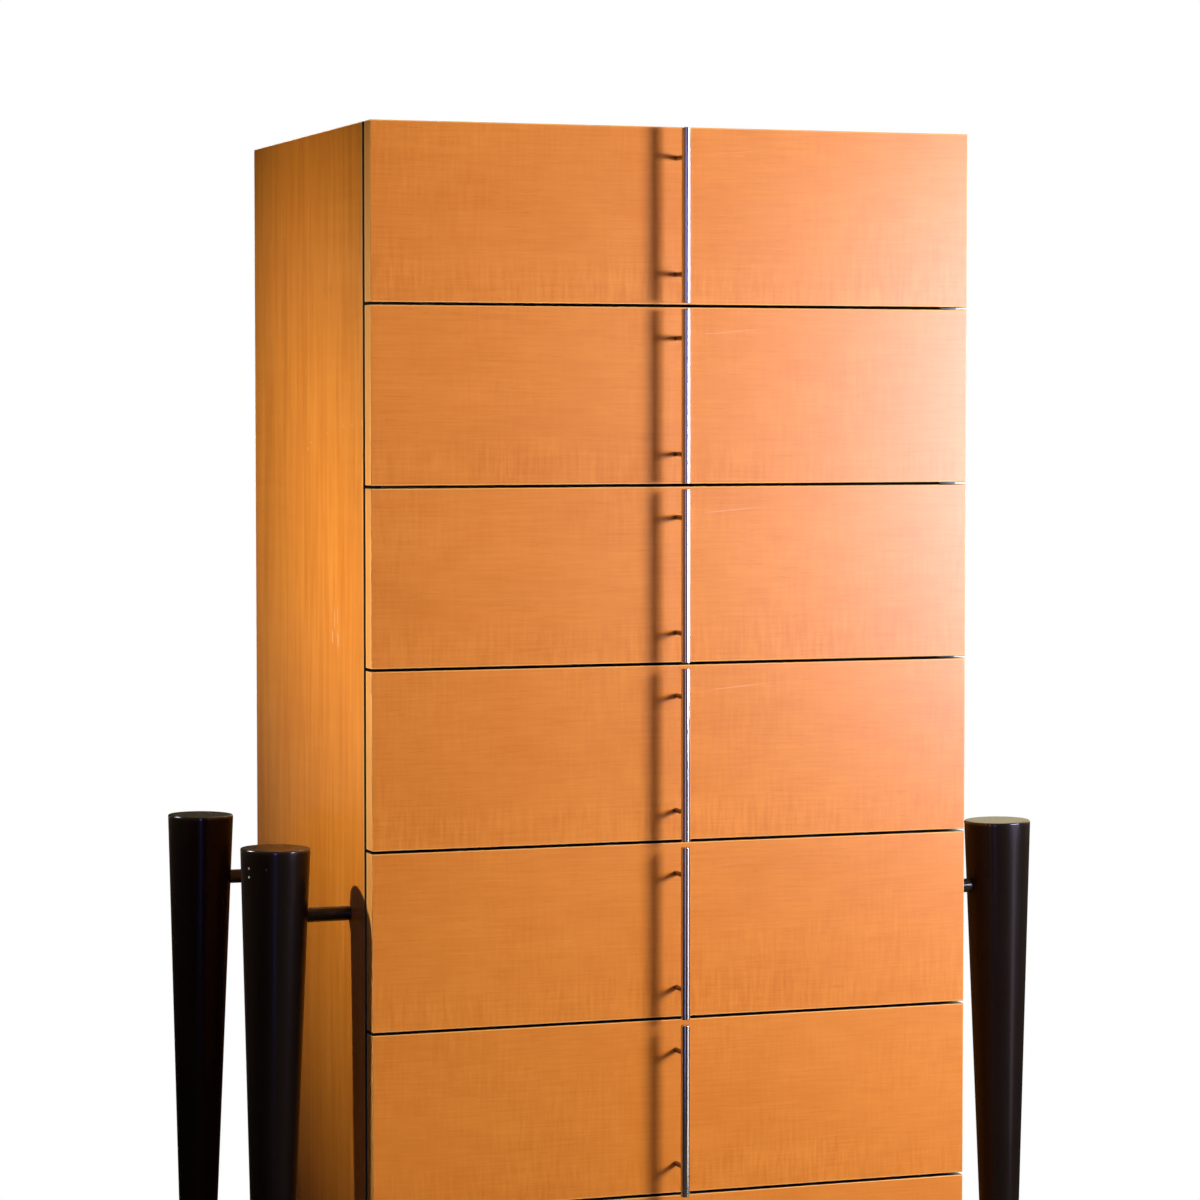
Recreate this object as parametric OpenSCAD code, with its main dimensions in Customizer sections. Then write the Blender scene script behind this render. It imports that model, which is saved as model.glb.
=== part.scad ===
// Semainier: a tall, narrow case with seven overlay drawers, one for each day of the week.
// The case hangs between four tapered legs that stand clear of its sides on round pins.
// Every drawer has a steel bar handle and a dovetailed box that slides on wooden strips.
// X runs across the front, Y from front to back, Z up from the floor.

/* [Case] */
// Width of the case, and of the fronts that cover it
case_w = 650; // [560:5:760]
// Depth of the case from the sides' front edges to its back
case_d = 453; // [400:1:520]
// Thickness of the side, top and bottom panels
panel_t = 19; // [17:1:24]
// Thickness of the back panel
back_t = 8; // [6:1:12]
// Width of the rebate shoulder that the back panel lies on
rebate_w = 9; // [7:1:12]
// Rounding of the case panels' arrises
case_arris_r = 1; // [0.5:0.1:1.5]
// Height of the case's underside above the floor
case_lift = 120; // [60:5:200]

/* [Drawer fronts] */
// Height of one drawer front
front_h = 181; // [165:1:210]
// Thickness of a drawer front
front_t = 22; // [18:1:26]
// Gap between one front and the next
front_gap = 2.5; // [1.5:0.5:5]
// Open gap between the fronts and the sides' front edges
shadow_gap = 6; // [3:0.5:12]
// Rounding of the fronts' arrises
front_arris_r = 1; // [0.5:0.25:3]

/* [Drawer boxes] */
// Thickness of the drawer box's walls
wall_t = 15; // [13:1:18]
// Height left free above and below a drawer box, beside the case's top and bottom panels
box_clear = 5; // [3:1:12]
// Gap between a drawer box and the case's side
box_gap = 1.5; // [1:0.5:3]
// Room behind a drawer box, in front of the back panel
box_back_room = 15; // [5:1:40]
// Thickness of a drawer's bottom board
bottom_t = 5; // [4:0.5:7]
// Height of the bottom board's groove above the walls' lower edges
bottom_rise = 10; // [8:1:16]
// Depth of the groove that the bottom board sits in
bottom_groove = 6; // [4:0.5:6]
// Number of dovetails at each corner of a drawer box
tail_count = 4; // [3:1:5]
// How much a dovetail widens on each side towards its end
tail_flare = 2.5; // [1.5:0.5:4]
// Width of the pins between two dovetails, at their outer face
pin_w = 7; // [5:0.5:10]

/* [Runners] */
// Height of the wooden strip that a drawer slides on
strip_h = 16; // [12:1:20]
// Thickness of the strip, from the case's side inwards
strip_t = 8; // [6:0.5:9]
// Distance of the strip's front end behind the sides' front edges
strip_setback = 12; // [8:1:40]
// Height of the strip's middle above the drawer box's lower edge
strip_rise = 60; // [45:1:75]
// Diameter of the screws that hold the strips
strip_screw_d = 4; // [3:0.5:4.5]
// Distance of those screws from the strip's ends
strip_screw_inset = 85; // [70:1:120]

/* [Handles] */
// Diameter of the handle's bar
bar_d = 9.5; // [8:0.5:14]
// Distance from each end of the bar to the front's edge
bar_end_gap = 1.75; // [1.25:0.25:20]
// Distance from the front's face to the bar's middle
bar_reach = 28; // [20:1:45]
// Diameter of the two posts that carry the bar
post_d = 5; // [4:0.5:6]
// Distance from each end of the bar to its post
post_inset = 29.5; // [15:0.5:50]
// Depth of the posts' sockets in the bar's back
post_socket = 5; // [3:0.5:6]
// How far the handle sits below the middle of its front
handle_drop = 0.5; // [0:0.25:1]

/* [Legs] */
// Diameter of a leg at its flat top
leg_top_d = 71.5; // [50:0.5:80]
// Diameter of a leg at its foot
leg_foot_d = 27; // [24:1:45]
// Rounding of the arris round a leg's top
leg_arris_r = 1.5; // [0.5:0.5:3]
// Height of the legs' tops above the floor
leg_top_z = 668; // [450:0.5:900]
// Angle by which a leg leans, with its foot away from the case
leg_lean = 0.65; // [0:0.05:1.5]
// Distance from the case's side to a leg's axis at its top
leg_offset = 78; // [60:1:110]
// Distance from the case's front or back edge to a leg's axis
leg_inset = 58; // [40:1:100]
// Diameter of the pins between the legs and the case
leg_pin_d = 15; // [12:0.5:20]
// Distance from a leg's top down to its upper pin
upper_pin_drop = 70; // [40:0.5:120]
// Height of the lower pin above the case's underside
lower_pin_rise = 60; // [45:1:64]
// Diameter of the bolts that run through the pins
leg_bolt_d = 8; // [6:1:8]
// Diameter of the glide under a leg
glide_d = 22; // [16:1:23]
// Thickness of the glide
glide_h = 5; // [3:1:10]

/* [Hidden] */
$fn = 64;
drawer_count = 7;
CASE_NODES = [
    "side_panel_left", "side_panel_right", "top_panel", "bottom_panel", "back_panel",
    "back_screws", "carcass_dowels", "runner_strips", "runner_screws",
    "leg_front_left", "leg_front_right", "leg_back_left", "leg_back_right",
    "leg_pins", "leg_bolts", "leg_glides"
];
DRAWER_PIECES = ["front", "box_sides", "box_ends", "bottom", "handle_bar", "posts_and_screws"];

// Clearances: a piece in its hole or groove, and a drawer's groove over its strip
fit = 0.1;
slide_fit = 0.3;
// What a cut reaches past the face that it starts from
cut = 1;

// Overall heights and depths
front_pitch = front_h + front_gap;
case_h = drawer_count * front_pitch - front_gap;
inner_w = case_w - 2 * panel_t;
bar_front = bar_reach + bar_d / 2;
total_d = bar_front + front_t + shadow_gap + case_d;
face_y = -total_d / 2 + bar_front;
box_y = face_y + front_t;
case_y = box_y + shadow_gap;
case_back_y = case_y + case_d;
back_panel_y = case_back_y - back_t;

// Drawer box
box_w = inner_w - 2 * box_gap;
box_h = front_h - 2 * (panel_t + box_clear);
box_rise = panel_t + box_clear;
box_d = back_panel_y - box_back_room - box_y;
hollow_w = box_w - 2 * wall_t;
tail_pitch = box_h / tail_count;

// Handle
bar_len = front_h - 2 * bar_end_gap;
post_spacing = bar_len - 2 * post_inset;
post_len = bar_reach - bar_d / 2 + post_socket;

// Runner strip and the groove over it; the groove's closed front end is the drawer's stop
groove_play = 1;
strip_y = case_y + strip_setback;
strip_len = back_panel_y - box_back_room - strip_y;
groove_d = strip_t - box_gap + groove_play;
groove_h = strip_h + 2 * slide_fit;

// Leg, with its pins' heights and their Y places
leg_base_z = glide_h;
leg_slope = (leg_top_d - leg_foot_d) / 2 / (leg_top_z - leg_base_z);
leg_ys = [case_y + leg_inset, case_back_y - leg_inset];
pin_zs = [case_lift + lower_pin_rise, leg_top_z - upper_pin_drop];
pin_socket = 10;
bolt_hold = 12;
bolt_head_d = 2 * leg_bolt_d;
bolt_head_h = 4.5;
head_play = 1;
bolt_socket_d = 0.7 * leg_bolt_d;
bolt_socket_depth = 3;
function leg_r(z) = leg_foot_d / 2 + (z - leg_base_z) * leg_slope;
function leg_x(z) = leg_offset + (leg_top_z - z) * tan(leg_lean);
function pin_end(z) = leg_x(z) - leg_r(z) + pin_socket;

// Colours
veneer = [0.80, 0.46, 0.20];
pale_wood = [0.87, 0.74, 0.55];
strip_wood = [0.72, 0.52, 0.32];
steel = [0.62, 0.63, 0.65];
black = [0.09, 0.08, 0.08];

// Underside of front i, counted from the top one
function front_z(i) = case_lift + (drawer_count - i) * front_pitch;
function box_z(i) = front_z(i) + box_rise;
function handle_z(i) = front_z(i) + front_h / 2 - handle_drop;

// Rectangle from the origin with rounded corners
module round_rect(w, h, r) {
    translate([r, 0]) square([w - 2 * r, h]);
    translate([0, r]) square([w, h - 2 * r]);
    for (x = [r, w - r]) for (y = [r, h - r]) translate([x, y]) circle(r, $fn = 32);
}

// Board from the origin with all its arrises rounded, as three crossed profiles
module board(w, d, h, r) {
    intersection() {
        linear_extrude(h) round_rect(w, d, r);
        translate([0, d, 0]) rotate([90, 0, 0]) linear_extrude(d) round_rect(w, h, r);
        rotate([90, 0, 90]) linear_extrude(w) round_rect(d, h, r);
    }
}

// Cylinder along +X, and along +Y, from the origin
module x_rod(d, l) rotate([0, 90, 0]) cylinder(d = d, h = l);
module y_rod(d, l) rotate([-90, 0, 0]) cylinder(d = d, h = l);

// Countersunk wood screw, pointing down from the face it is driven into
module screw(d, l, play = 0) {
    head_h = d / 2;
    rotate_extrude() polygon([
        [0, 0],
        [d + play, 0],
        [d / 2 + play, -head_h],
        [d / 2 + play, -l * 3 / 4],
        [0, -l - play]
    ]);
}

// Case

// Where the back panel's screws go: a name for the edge, its X and its Z
back_screw_d = 3.5;
back_screw_len = 25;
side_screw_x = case_w / 2 - panel_t + rebate_w / 2;
side_screw_n = 5;
end_screw_n = 3;
module at_back_screws() {
    span = case_h - 2 * panel_t;
    for (side = [-1, 1]) for (k = [0:side_screw_n - 1]) {
        z = case_lift + panel_t + span * (k + 0.5) / side_screw_n;
        translate([side * side_screw_x, case_back_y, z]) rotate([-90, 0, 0]) children();
    }
    for (z = [case_lift + panel_t - rebate_w / 2, case_lift + case_h - panel_t + rebate_w / 2])
        for (k = [0:end_screw_n - 1]) {
            x = inner_w * ((k + 0.5) / end_screw_n - 0.5);
            translate([x, case_back_y, z]) rotate([-90, 0, 0]) children();
        }
}

// Dowels that join the top and bottom panels to the sides
dowel_d = 8;
dowel_len = 30;
dowel_side = 12;
dowel_n = 3;
module at_dowels(side) {
    for (z = [case_lift + panel_t / 2, case_lift + case_h - panel_t / 2])
        for (k = [0:dowel_n - 1]) {
            y = case_y + (case_d - back_t) * (k + 0.5) / dowel_n;
            translate([side * (inner_w / 2 + dowel_side), y, z]) rotate([0, side * -90, 0]) children();
        }
}

// The runner strips' screws, driven outwards into the sides
strip_screw_len = 20;
module at_strip_screws(side, i) {
    for (y = [strip_y + strip_screw_inset, strip_y + strip_len - strip_screw_inset])
        translate([side * (inner_w / 2 - strip_t), y, box_z(i) + strip_rise])
            rotate([0, side * -90, 0]) children();
}

module back_panel_space() {
    translate([-inner_w / 2 - rebate_w, back_panel_y, case_lift + panel_t - rebate_w])
        cube([inner_w + 2 * rebate_w, back_t + cut, case_h - 2 * panel_t + 2 * rebate_w]);
}

// Bores for the leg bolts, with a flat recess inside the case for each head
module leg_bolt_bores(side) {
    for (y = leg_ys) for (z = pin_zs) translate([side * case_w / 2, y, z]) mirror([side > 0 ? 1 : 0, 0, 0]) {
        translate([-cut, 0, 0]) x_rod(leg_bolt_d + 2 * fit, panel_t + 2 * cut);
        translate([panel_t - bolt_head_h - fit, 0, 0]) x_rod(bolt_head_d + head_play, bolt_head_h + cut);
    }
}

module side_panel(side) {
    color(veneer) difference() {
        translate([side < 0 ? -case_w / 2 : case_w / 2 - panel_t, case_y, case_lift])
            board(panel_t, case_d, case_h, case_arris_r);
        back_panel_space();
        at_back_screws() screw(back_screw_d, back_screw_len, fit);
        at_dowels(side) cylinder(d = dowel_d + 2 * fit, h = dowel_side + cut);
        for (i = [1:drawer_count]) at_strip_screws(side, i) screw(strip_screw_d, strip_screw_len, fit);
        leg_bolt_bores(side);
    }
}

// Panel between the sides, with its own rebate for the back panel
module cross_panel(z) {
    color(veneer) difference() {
        translate([-inner_w / 2, case_y, z]) board(inner_w, case_d, panel_t, case_arris_r);
        back_panel_space();
        at_back_screws() screw(back_screw_d, back_screw_len, fit);
        for (side = [-1, 1]) at_dowels(side) cylinder(d = dowel_d + 2 * fit, h = dowel_len + fit);
    }
}

module top_panel() cross_panel(case_lift + case_h - panel_t);
module bottom_panel() cross_panel(case_lift);

module back_panel() {
    color(pale_wood) difference() {
        translate([-inner_w / 2 - rebate_w + fit, back_panel_y, case_lift + panel_t - rebate_w + fit])
            cube([inner_w + 2 * (rebate_w - fit), back_t, case_h - 2 * (panel_t - rebate_w + fit)]);
        at_back_screws() screw(back_screw_d, back_screw_len, fit);
    }
}

module back_screws() {
    color(steel) at_back_screws() screw(back_screw_d, back_screw_len);
}

module carcass_dowels() {
    color(pale_wood) for (side = [-1, 1]) at_dowels(side) cylinder(d = dowel_d, h = dowel_len);
}

// Strips with a tapered nose, which leads into the drawer's groove
module runner_strips() {
    nose = strip_h / 8;
    outline = [
        [0, nose],
        [2 * nose, 0],
        [strip_len, 0],
        [strip_len, strip_h],
        [2 * nose, strip_h],
        [0, strip_h - nose]
    ];
    color(strip_wood) for (side = [-1, 1]) for (i = [1:drawer_count]) difference() {
        translate([
            side < 0 ? -inner_w / 2 : inner_w / 2 - strip_t,
            strip_y,
            box_z(i) + strip_rise - strip_h / 2
        ]) rotate([90, 0, 90]) linear_extrude(strip_t) polygon(outline);
        at_strip_screws(side, i) screw(strip_screw_d, strip_screw_len, fit);
    }
}

module runner_screws() {
    color(steel) for (side = [-1, 1]) for (i = [1:drawer_count])
        at_strip_screws(side, i) screw(strip_screw_d, strip_screw_len);
}

// Legs

// Turned leg: a straight taper with a flat top and a rounded arris, leaning about its top, cut off
// level at its foot and bored for its glide's stem
stem_d = 6;
stem_len = 14;
arris_steps = 6;
module leg(side, row) {
    arris_z = leg_top_z - leg_arris_r;
    arris_x = leg_r(arris_z) - leg_arris_r;
    arris = [
        for (k = [0:arris_steps])
            [arris_x + leg_arris_r * cos(90 * k / arris_steps), leg_arris_r * (sin(90 * k / arris_steps) - 1)]
    ];
    stub_z = leg_base_z - cut;
    profile = concat([[0, stub_z - leg_top_z], [leg_r(stub_z), stub_z - leg_top_z]], arris, [[0, 0]]);
    color(black) difference() {
        translate([side * (case_w / 2 + leg_offset), leg_ys[row], leg_top_z])
            rotate([0, -side * leg_lean, 0]) rotate_extrude() polygon(profile);
        translate([side * (case_w / 2 + leg_x(leg_base_z)), leg_ys[row], 0]) {
            translate([-leg_foot_d, -leg_foot_d, leg_base_z - 3 * cut])
                cube([2 * leg_foot_d, 2 * leg_foot_d, 3 * cut]);
            cylinder(d = stem_d + 2 * fit, h = leg_base_z + stem_len + fit);
        }
        for (z = pin_zs) translate([side * case_w / 2, leg_ys[row], z]) mirror([side < 0 ? 1 : 0, 0, 0]) {
            x_rod(leg_pin_d + 2 * fit, pin_end(z));
            x_rod(leg_bolt_d + 2 * fit, pin_end(z) + bolt_hold + fit);
        }
    }
}

// Pins: round spacers from the case's side into a socket in the leg, bored for the bolt
module leg_pins() {
    color(black) for (side = [-1, 1]) for (y = leg_ys) for (z = pin_zs)
        translate([side * case_w / 2, y, z]) mirror([side < 0 ? 1 : 0, 0, 0]) difference() {
            x_rod(leg_pin_d, pin_end(z));
            translate([-cut, 0, 0]) x_rod(leg_bolt_d + 2 * fit, pin_end(z) + 2 * cut);
        }
}

module leg_bolts() {
    color(steel) for (side = [-1, 1]) for (y = leg_ys) for (z = pin_zs)
        translate([side * case_w / 2, y, z]) mirror([side < 0 ? 1 : 0, 0, 0]) {
            shank = panel_t - bolt_head_h - fit;
            translate([-shank, 0, 0]) x_rod(leg_bolt_d, shank + pin_end(z) + bolt_hold);
            translate([-shank - bolt_head_h, 0, 0]) difference() {
                x_rod(bolt_head_d, bolt_head_h);
                translate([-cut, 0, 0]) rotate([0, 90, 0])
                    cylinder(d = bolt_socket_d, h = cut + bolt_socket_depth, $fn = 6);
            }
        }
}

glide_ease = 1.5;
module leg_glides() {
    color(black) for (side = [-1, 1]) for (y = leg_ys)
        translate([side * (case_w / 2 + leg_x(leg_base_z)), y, 0]) rotate_extrude() polygon([
            [0, 0],
            [glide_d / 2 - glide_ease, 0],
            [glide_d / 2, glide_ease],
            [glide_d / 2, glide_h],
            [stem_d / 2, glide_h],
            [stem_d / 2, glide_h + stem_len],
            [0, glide_h + stem_len]
        ]);
}

// Drawers, each drawn in its closed place

module at_posts(i) {
    for (dz = [-0.5, 0.5]) translate([0, face_y, handle_z(i) + dz * post_spacing]) children();
}

// Screws that hold a post, driven from the front's back into the post's end
post_screw_d = 3;
post_screw_bite = 12;
post_screw_len = front_t + post_screw_bite;
module at_post_screws(i) {
    at_posts(i) translate([0, front_t, 0]) rotate([-90, 0, 0]) children();
}

// Screws that hold the front, driven from inside the box through the inner front
front_screw_d = 4;
front_screw_bite = 14;
front_screw_len = wall_t + front_screw_bite;
front_screw_x = 200;
front_screw_inset = 34;
module at_front_screws(i) {
    for (x = [-front_screw_x, front_screw_x]) for (z = [front_screw_inset, box_h - front_screw_inset])
        translate([x, box_y + wall_t, box_z(i) + z]) rotate([-90, 0, 0]) children();
}

module drawer_front(i) {
    color(veneer) difference() {
        translate([-case_w / 2, face_y, front_z(i)]) board(case_w, front_t, front_h, front_arris_r);
        at_post_screws(i) screw(post_screw_d, post_screw_len, fit);
        at_front_screws(i) screw(front_screw_d, front_screw_len, fit);
    }
}

// The dovetail pins that stand on an end board, seen from the side: the half pins at the
// edges and the full pins between the tails, wider towards the inside of the box
module pin_outline(play) {
    depth = wall_t + play;
    for (k = [0:tail_count]) {
        mid = k * tail_pitch;
        outer = pin_w / 2 + play;
        inner = outer + tail_flare;
        polygon([[-play, mid - outer], [-play, mid + outer], [depth, mid + inner], [depth, mid - inner]]);
    }
}

// All the pins of one end board, cut off level with the box's edges, through both sides
module end_pins(i, back, play = 0) {
    y = back ? box_y + box_d : box_y;
    intersection() {
        translate([-box_w / 2, y, box_z(i)]) mirror([0, back ? 1 : 0, 0])
            rotate([90, 0, 90]) linear_extrude(box_w) pin_outline(play);
        translate([-box_w / 2 - cut, box_y - cut, box_z(i)]) cube([box_w + 2 * cut, box_d + 2 * cut, box_h]);
    }
}

module bottom_space(i, play) {
    x = hollow_w / 2 + bottom_groove + play;
    y = box_y + wall_t - bottom_groove - play;
    translate([-x, y, box_z(i) + bottom_rise]) cube([
        2 * x,
        box_d - 2 * (wall_t - bottom_groove - play),
        bottom_t + 4 * play
    ]);
}

// Grooves over the runner strips, closed at the front and open at the back
module runner_grooves(i) {
    y = strip_y - slide_fit;
    for (side = [-1, 1]) translate([
        side < 0 ? -box_w / 2 - cut : box_w / 2 - groove_d,
        y,
        box_z(i) + strip_rise - groove_h / 2
    ]) cube([groove_d + cut, box_y + box_d + cut - y, groove_h]);
}

module drawer_box_sides(i) {
    color(pale_wood) difference() {
        for (x = [-box_w / 2, box_w / 2 - wall_t])
            translate([x, box_y, box_z(i)]) cube([wall_t, box_d, box_h]);
        end_pins(i, false, fit);
        end_pins(i, true, fit);
        bottom_space(i, fit);
        runner_grooves(i);
    }
}

// Inner front and back: boards between the sides, with their pins through the sides
module drawer_box_ends(i) {
    color(pale_wood) difference() {
        union() {
            for (y = [box_y, box_y + box_d - wall_t])
                translate([-hollow_w / 2, y, box_z(i)]) cube([hollow_w, wall_t, box_h]);
            end_pins(i, false);
            end_pins(i, true);
        }
        bottom_space(i, fit);
        runner_grooves(i);
        at_front_screws(i) screw(front_screw_d, front_screw_len, fit);
    }
}

module drawer_bottom(i) {
    color(pale_wood) bottom_space(i, 0);
}

// Bar with its ends eased and a socket in its back for each post
bar_ease = 0.5;
module drawer_handle_bar(i) {
    r = bar_d / 2;
    color(steel) difference() {
        translate([0, face_y - bar_reach, handle_z(i) - bar_len / 2]) rotate_extrude() polygon([
            [0, 0],
            [r - bar_ease, 0],
            [r, bar_ease],
            [r, bar_len - bar_ease],
            [r - bar_ease, bar_len],
            [0, bar_len]
        ]);
        at_posts(i) translate([0, -post_len, 0]) y_rod(post_d + 2 * fit, post_len);
    }
}

// Posts from the bar to the front, with their screws and the front's own screws
module drawer_posts_and_screws(i) {
    color(steel) {
        at_posts(i) difference() {
            translate([0, -post_len, 0]) y_rod(post_d, post_len);
            translate([0, front_t - post_screw_len - fit, 0]) y_rod(post_screw_d + 2 * fit, post_screw_len);
        }
        at_post_screws(i) screw(post_screw_d, post_screw_len);
        at_front_screws(i) screw(front_screw_d, front_screw_len);
    }
}

side_panel(-1);  // side_panel_left
side_panel(1);  // side_panel_right
top_panel();
bottom_panel();
back_panel();
back_screws();
carcass_dowels();
runner_strips();
runner_screws();
leg(-1, 0);  // leg_front_left
leg(1, 0);  // leg_front_right
leg(-1, 1);  // leg_back_left
leg(1, 1);  // leg_back_right
leg_pins();
leg_bolts();
leg_glides();
for (i = [1:drawer_count]) {
    drawer_front(i);
    drawer_box_sides(i);
    drawer_box_ends(i);
    drawer_bottom(i);
    drawer_handle_bar(i);
    drawer_posts_and_screws(i);
}
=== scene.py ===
import math
import bpy
import numpy as np
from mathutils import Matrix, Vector


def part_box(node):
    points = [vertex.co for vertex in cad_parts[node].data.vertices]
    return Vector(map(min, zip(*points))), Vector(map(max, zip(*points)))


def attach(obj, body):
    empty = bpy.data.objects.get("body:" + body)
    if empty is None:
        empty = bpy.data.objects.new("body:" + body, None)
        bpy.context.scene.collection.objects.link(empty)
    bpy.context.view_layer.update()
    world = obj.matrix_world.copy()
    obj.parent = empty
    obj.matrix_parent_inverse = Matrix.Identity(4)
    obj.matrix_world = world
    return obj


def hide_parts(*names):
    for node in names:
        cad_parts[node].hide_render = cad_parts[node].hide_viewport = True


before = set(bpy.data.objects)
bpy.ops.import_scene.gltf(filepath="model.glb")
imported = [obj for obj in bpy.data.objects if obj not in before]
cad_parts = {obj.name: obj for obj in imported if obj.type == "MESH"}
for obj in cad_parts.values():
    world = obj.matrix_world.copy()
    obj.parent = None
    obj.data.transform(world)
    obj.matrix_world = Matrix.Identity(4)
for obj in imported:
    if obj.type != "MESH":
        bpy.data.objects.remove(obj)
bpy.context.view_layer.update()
mm = 0.001

# Viewpoint: standing a little left of the front, just above breast height, with a long lens.
# The case's upright edges stay nearly parallel, and its feet lie below the frame.
eye = (-1.3417, -3.8824, 1.1179)
looking_down, turned_right = math.radians(2.934), math.radians(18.985)
camera = bpy.data.objects.new("camera", bpy.data.cameras.new("camera"))
camera.location = eye
camera.rotation_euler = (math.pi / 2 - looking_down, 0, -turned_right)
camera.data.sensor_width = 36
camera.data.lens = 113.85
bpy.context.scene.collection.objects.link(camera)
bpy.context.scene.camera = camera
bpy.context.scene.view_settings.view_transform = "Standard"

# Lamps: a soft box at the right lights the fronts, beside it a wide lamp makes their sheen, and a
# screen and a cool window draw lines on the bars and legs. A narrow lamp behind the left and a dim
# one beside it light the side; a broad one lights the back and the right side, a high one the top.


def lamp(name, place, aim, width, height, watts, colour=(1, 1, 1), spread=180):
    """Rectangular lamp at place, turned towards aim, with its beam narrowed to spread degrees.
    Places and sizes are in metres."""
    light = bpy.data.lights.new(name, "AREA")
    light.shape = "RECTANGLE"
    light.size, light.size_y = width, height
    light.energy, light.color = watts, colour
    light.spread = math.radians(spread)
    holder = bpy.data.objects.new(name, light)
    holder.location = place
    holder.rotation_euler = (Vector(aim) - Vector(place)).to_track_quat("-Z", "Y").to_euler()
    holder.visible_camera = False
    bpy.context.scene.collection.objects.link(holder)
    return holder


soft_box = lamp("soft_box", (1.34, -1.77, 1.19), (0, -0.22, 1.13), 0.72, 0.68, 58, (1, 1, 0.97))
soft_box.data.shape = "ELLIPSE"
soft_box.visible_glossy = False
sheen = lamp("sheen", (1.77, -1.77, 1.074), (0.2, -0.22, 1.1), 1.22, 0.9, 138, (0.6, 0.68, 0.97))
sheen.visible_diffuse = False
side_screen = lamp("side_screen", (1.25, -1.20, 0.10), (0, -0.25, 0.3), 0.35, 0.9, 4)
side_screen.visible_diffuse = False
window = lamp("window", (-0.90, -2.13, 0.8), (0, -0.25, 0.8), 0.30, 1.5, 4.8, (0.17, 0.28, 1))
window.visible_diffuse = False
lamp(
    "narrow_lamp", (-3.1, 1.35, 3.12), (-0.325, -0.125, 0.905), 0.09, 0.09, 2.25, (1, 1, 0.8), 16.5
)
side_sheen = lamp(
    "side_sheen", (-0.81, 1.2, 0.96), (-0.325, -0.2, 0.85), 0.24, 0.8, 0.13, (0.6, 0.9, 0.8)
)
side_sheen.visible_diffuse = False
back_fill = lamp("back_fill", (2.6, 3.0, 2.2), (0, 0, 0.7), 1.8, 1.8, 55)
back_fill.visible_glossy = False
top_fill = lamp("top_fill", (0.4, 1.3, 3.5), (0, 0.1, 1.402), 0.6, 0.6, 4.5, (1, 1, 1), 40)
top_fill.visible_glossy = False

# Surroundings: a white studio. Rays from the camera see plain white. Mirrors see a pale wall behind
# the right of the piece, a dark room in front of it, and high at the left a small bright skylight,
# which glints on the legs' rims.


class Wire:
    """A socket of a shader that takes Python's own arithmetic, by way of Math nodes."""

    def __init__(self, finish, socket):
        self.finish, self.socket = finish, socket

    def _math(self, operation, *values):
        numbered = dict(enumerate(values))
        return self.finish.node("Math", {"operation": operation}, numbered)

    def __add__(self, other):
        return self._math("ADD", self, other)

    def __sub__(self, other):
        return self._math("SUBTRACT", self, other)

    def __rsub__(self, other):
        return self._math("SUBTRACT", other, self)

    def __mul__(self, other):
        return self._math("MULTIPLY", self, other)

    def __truediv__(self, other):
        return self._math("DIVIDE", self, other)

    def __abs__(self):
        return self._math("ABSOLUTE", self)

    __radd__, __rmul__ = __add__, __mul__

    def floor(self):
        return self._math("FLOOR", self)

    def highest(self, other):
        return self._math("MAXIMUM", self, other)

    def between(self, low, high):
        """0 below low, 1 above high, and a smooth rise from one to the other."""
        settings = {"interpolation_type": "SMOOTHSTEP"}
        return self.finish.node("MapRange", settings, {0: self, 1: low, 2: high})


class Finish:
    """The nodes of one material or of the world. node() makes any node and hands back a socket."""

    def __init__(self, owner):
        owner.use_nodes = True
        self.tree = owner.node_tree
        self.tree.nodes.clear()

    def node(self, kind, settings=None, inputs=None, output=0):
        made = self.tree.nodes.new("ShaderNode" + kind)
        for name, value in (settings or {}).items():
            setattr(made, name, value)
        for name, value in (inputs or {}).items():
            if isinstance(value, Wire):
                self.tree.links.new(value.socket, made.inputs[name])
            else:
                made.inputs[name].default_value = value
        return Wire(self, made.outputs[output]) if made.outputs else None

    def mix(self, factor, first, second):
        """Colour that goes from first to second as factor goes from 0 to 1."""
        first, second = (c if isinstance(c, Wire) else (*c, 1) for c in (first, second))
        return self.node("Mix", {"data_type": "RGBA"}, {0: factor, 6: first, 7: second}, 2)

    def noise(self, place, scale, detail=2, roughness=0.5):
        """Soft noise from 0 to 1; scale gives its grains per metre along each axis."""
        where = self.node("Mapping", {}, {"Vector": place, "Scale": scale})
        sockets = {"Vector": where, "Scale": 1, "Detail": detail, "Roughness": roughness}
        return self.node("TexNoise", {}, sockets)


world = bpy.data.worlds.new("studio")
bpy.context.scene.world = world
studio = Finish(world)
away = studio.node("TexCoord", {}, {})


def facing(direction):
    """1 where a ray from the piece runs along direction, -1 where it runs against it."""
    return studio.node("VectorMath", {"operation": "DOT_PRODUCT"}, {0: away, 1: direction}, "Value")


light_path = {
    "camera": "Is Camera Ray", "glossy": "Is Glossy Ray", "through": "Is Transmission Ray",
}
seen = {key: studio.node("LightPath", {}, {}, socket) for key, socket in light_path.items()}
pale_wall = facing((0.814, 0.47, 0.342)).between(0.667, 0.85)
brown_wall = facing((-0.3, -0.95, 0)).between(-0.3, 0.15)
dim = studio.mix(brown_wall, (0.03, 0.02, 0.006), (0.23, 0.13, 0.09))
skylight = facing((-0.614, 0.458, 0.643)).between(0.984, 0.992)
mirrored = studio.mix(skylight, studio.mix(pale_wall, dim, (1.4, 1.2, 0.75)), (34, 37, 44))
front_glow = facing((0.45, -0.88, 0.15)).between(0.0, 0.7)
unlit = studio.mix(front_glow, (0.03, 0.024, 0.014), (0.20, 0.15, 0.06))
ambient = studio.mix(pale_wall, unlit, (0.5, 0.5, 0.5))
around = studio.mix(seen["glossy"].highest(seen["through"]), ambient, mirrored)
shown = studio.mix(seen["camera"], around, (1, 1, 1))
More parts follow.
